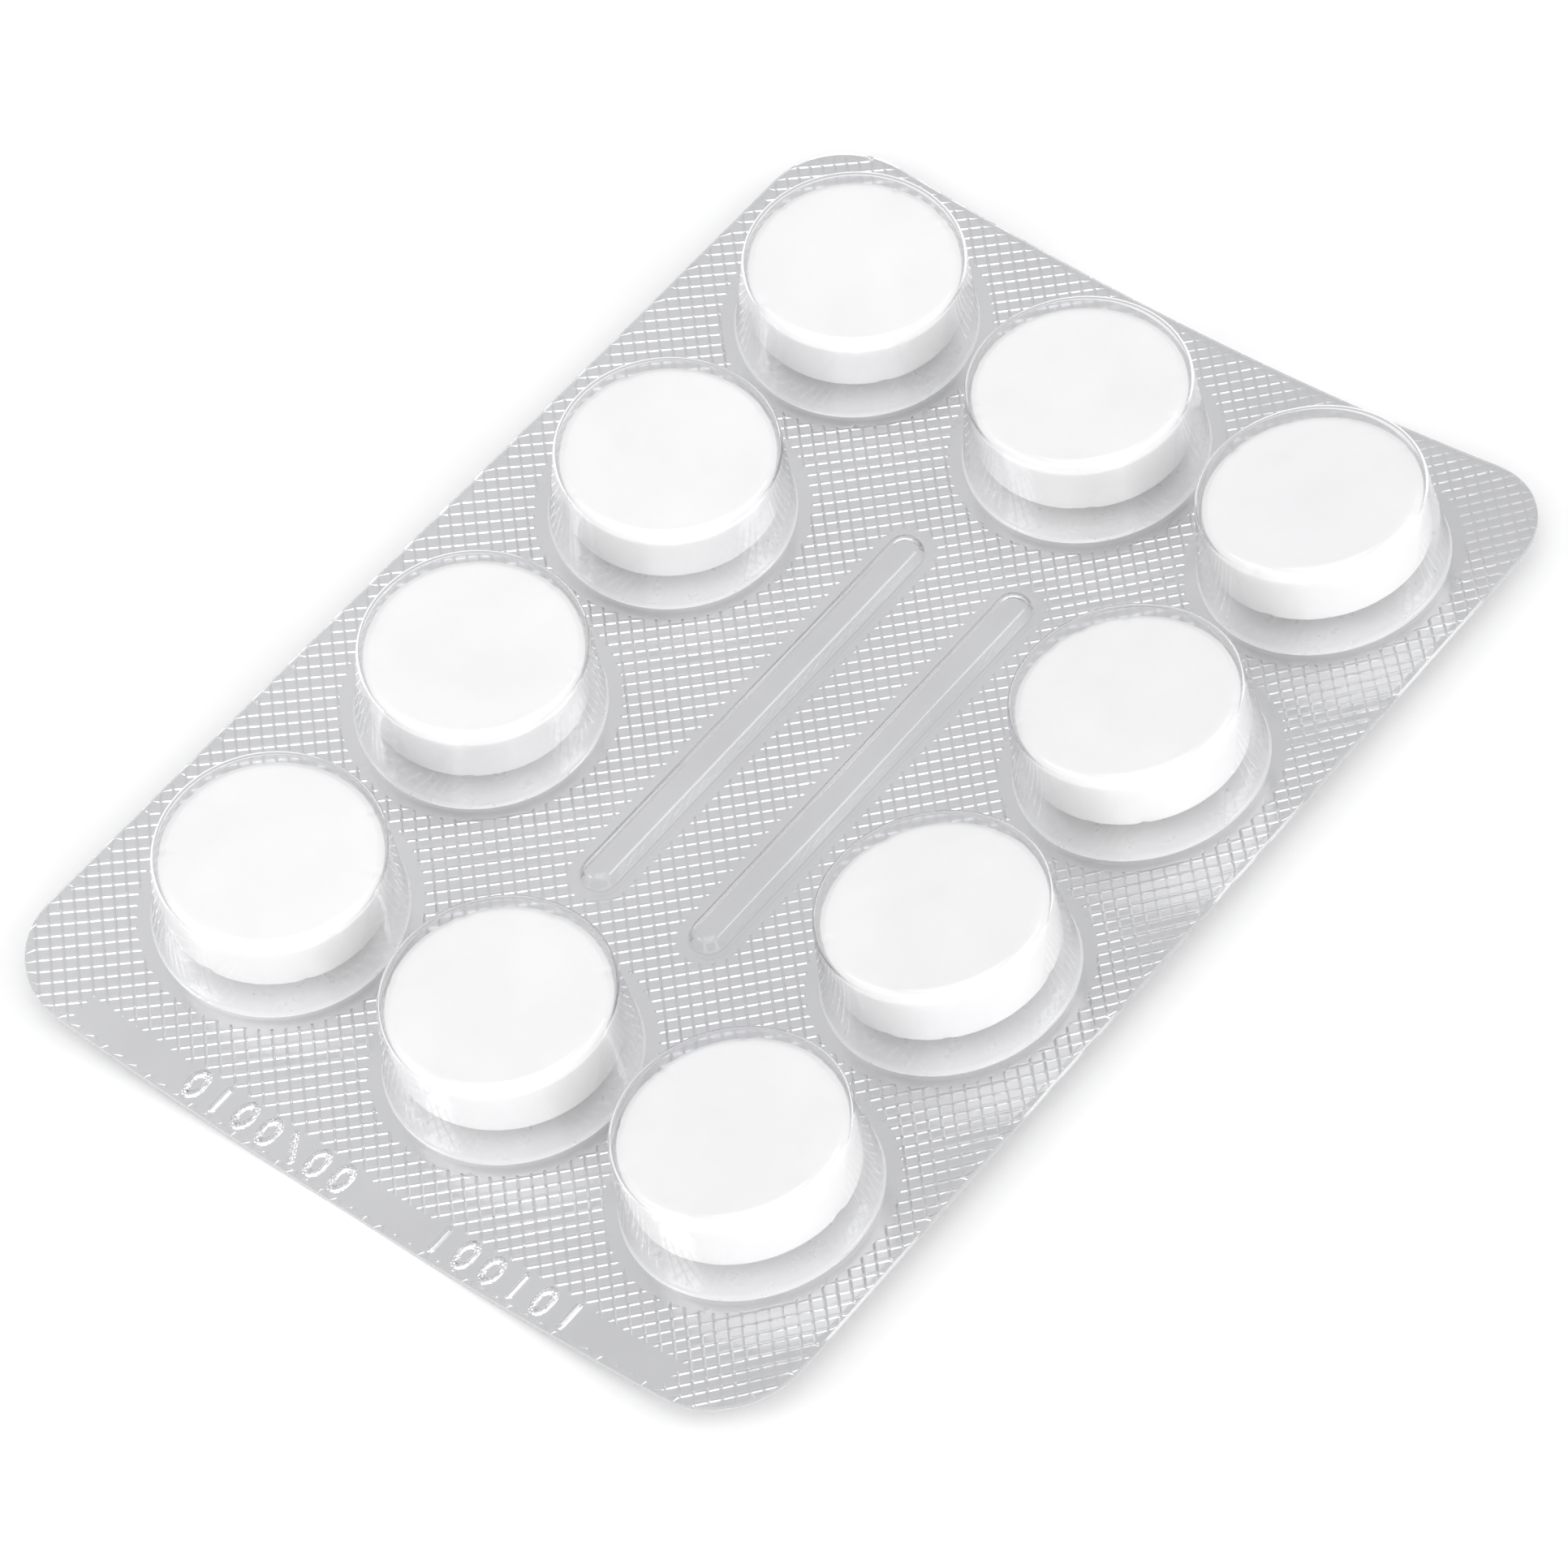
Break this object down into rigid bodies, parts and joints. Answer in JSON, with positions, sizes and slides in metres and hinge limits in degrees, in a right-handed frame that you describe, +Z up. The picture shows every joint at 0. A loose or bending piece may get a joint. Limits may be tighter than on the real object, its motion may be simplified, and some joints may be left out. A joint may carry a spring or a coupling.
{
  "type": "pill blister pack",
  "caption": "Gently curled blister pack: clear formed film with round pockets and two long ribs, sealed to aluminium foil, with a flat white bevelled tablet in each pocket.",
  "frame": {"origin": "below the middle of the rounded outline, on the line where the curled foil rests on the surface", "axes": "+X along the pack, towards the end without the plain coding strip; +Y across the pack; +Z up, on the pocket side"},
  "size_m": [0.072, 0.0516, 0.0075],
  "materials": {
    "clear_film": "clear, glossy, thermoformed",
    "foil": "bright rolled foil with a diagonal sealing knurl",
    "tablet": "matte pressed powder"
  },
  "bodies": {
    "root": {"blister_film": "clear_film", "lidding_foil": "foil", "tablet_01": "tablet", "tablet_02": "tablet", "tablet_03": "tablet", "tablet_04": "tablet", "tablet_05": "tablet", "tablet_06": "tablet", "tablet_07": "tablet", "tablet_08": "tablet", "tablet_09": "tablet", "tablet_10": "tablet"}
  },
  "joints": []
}
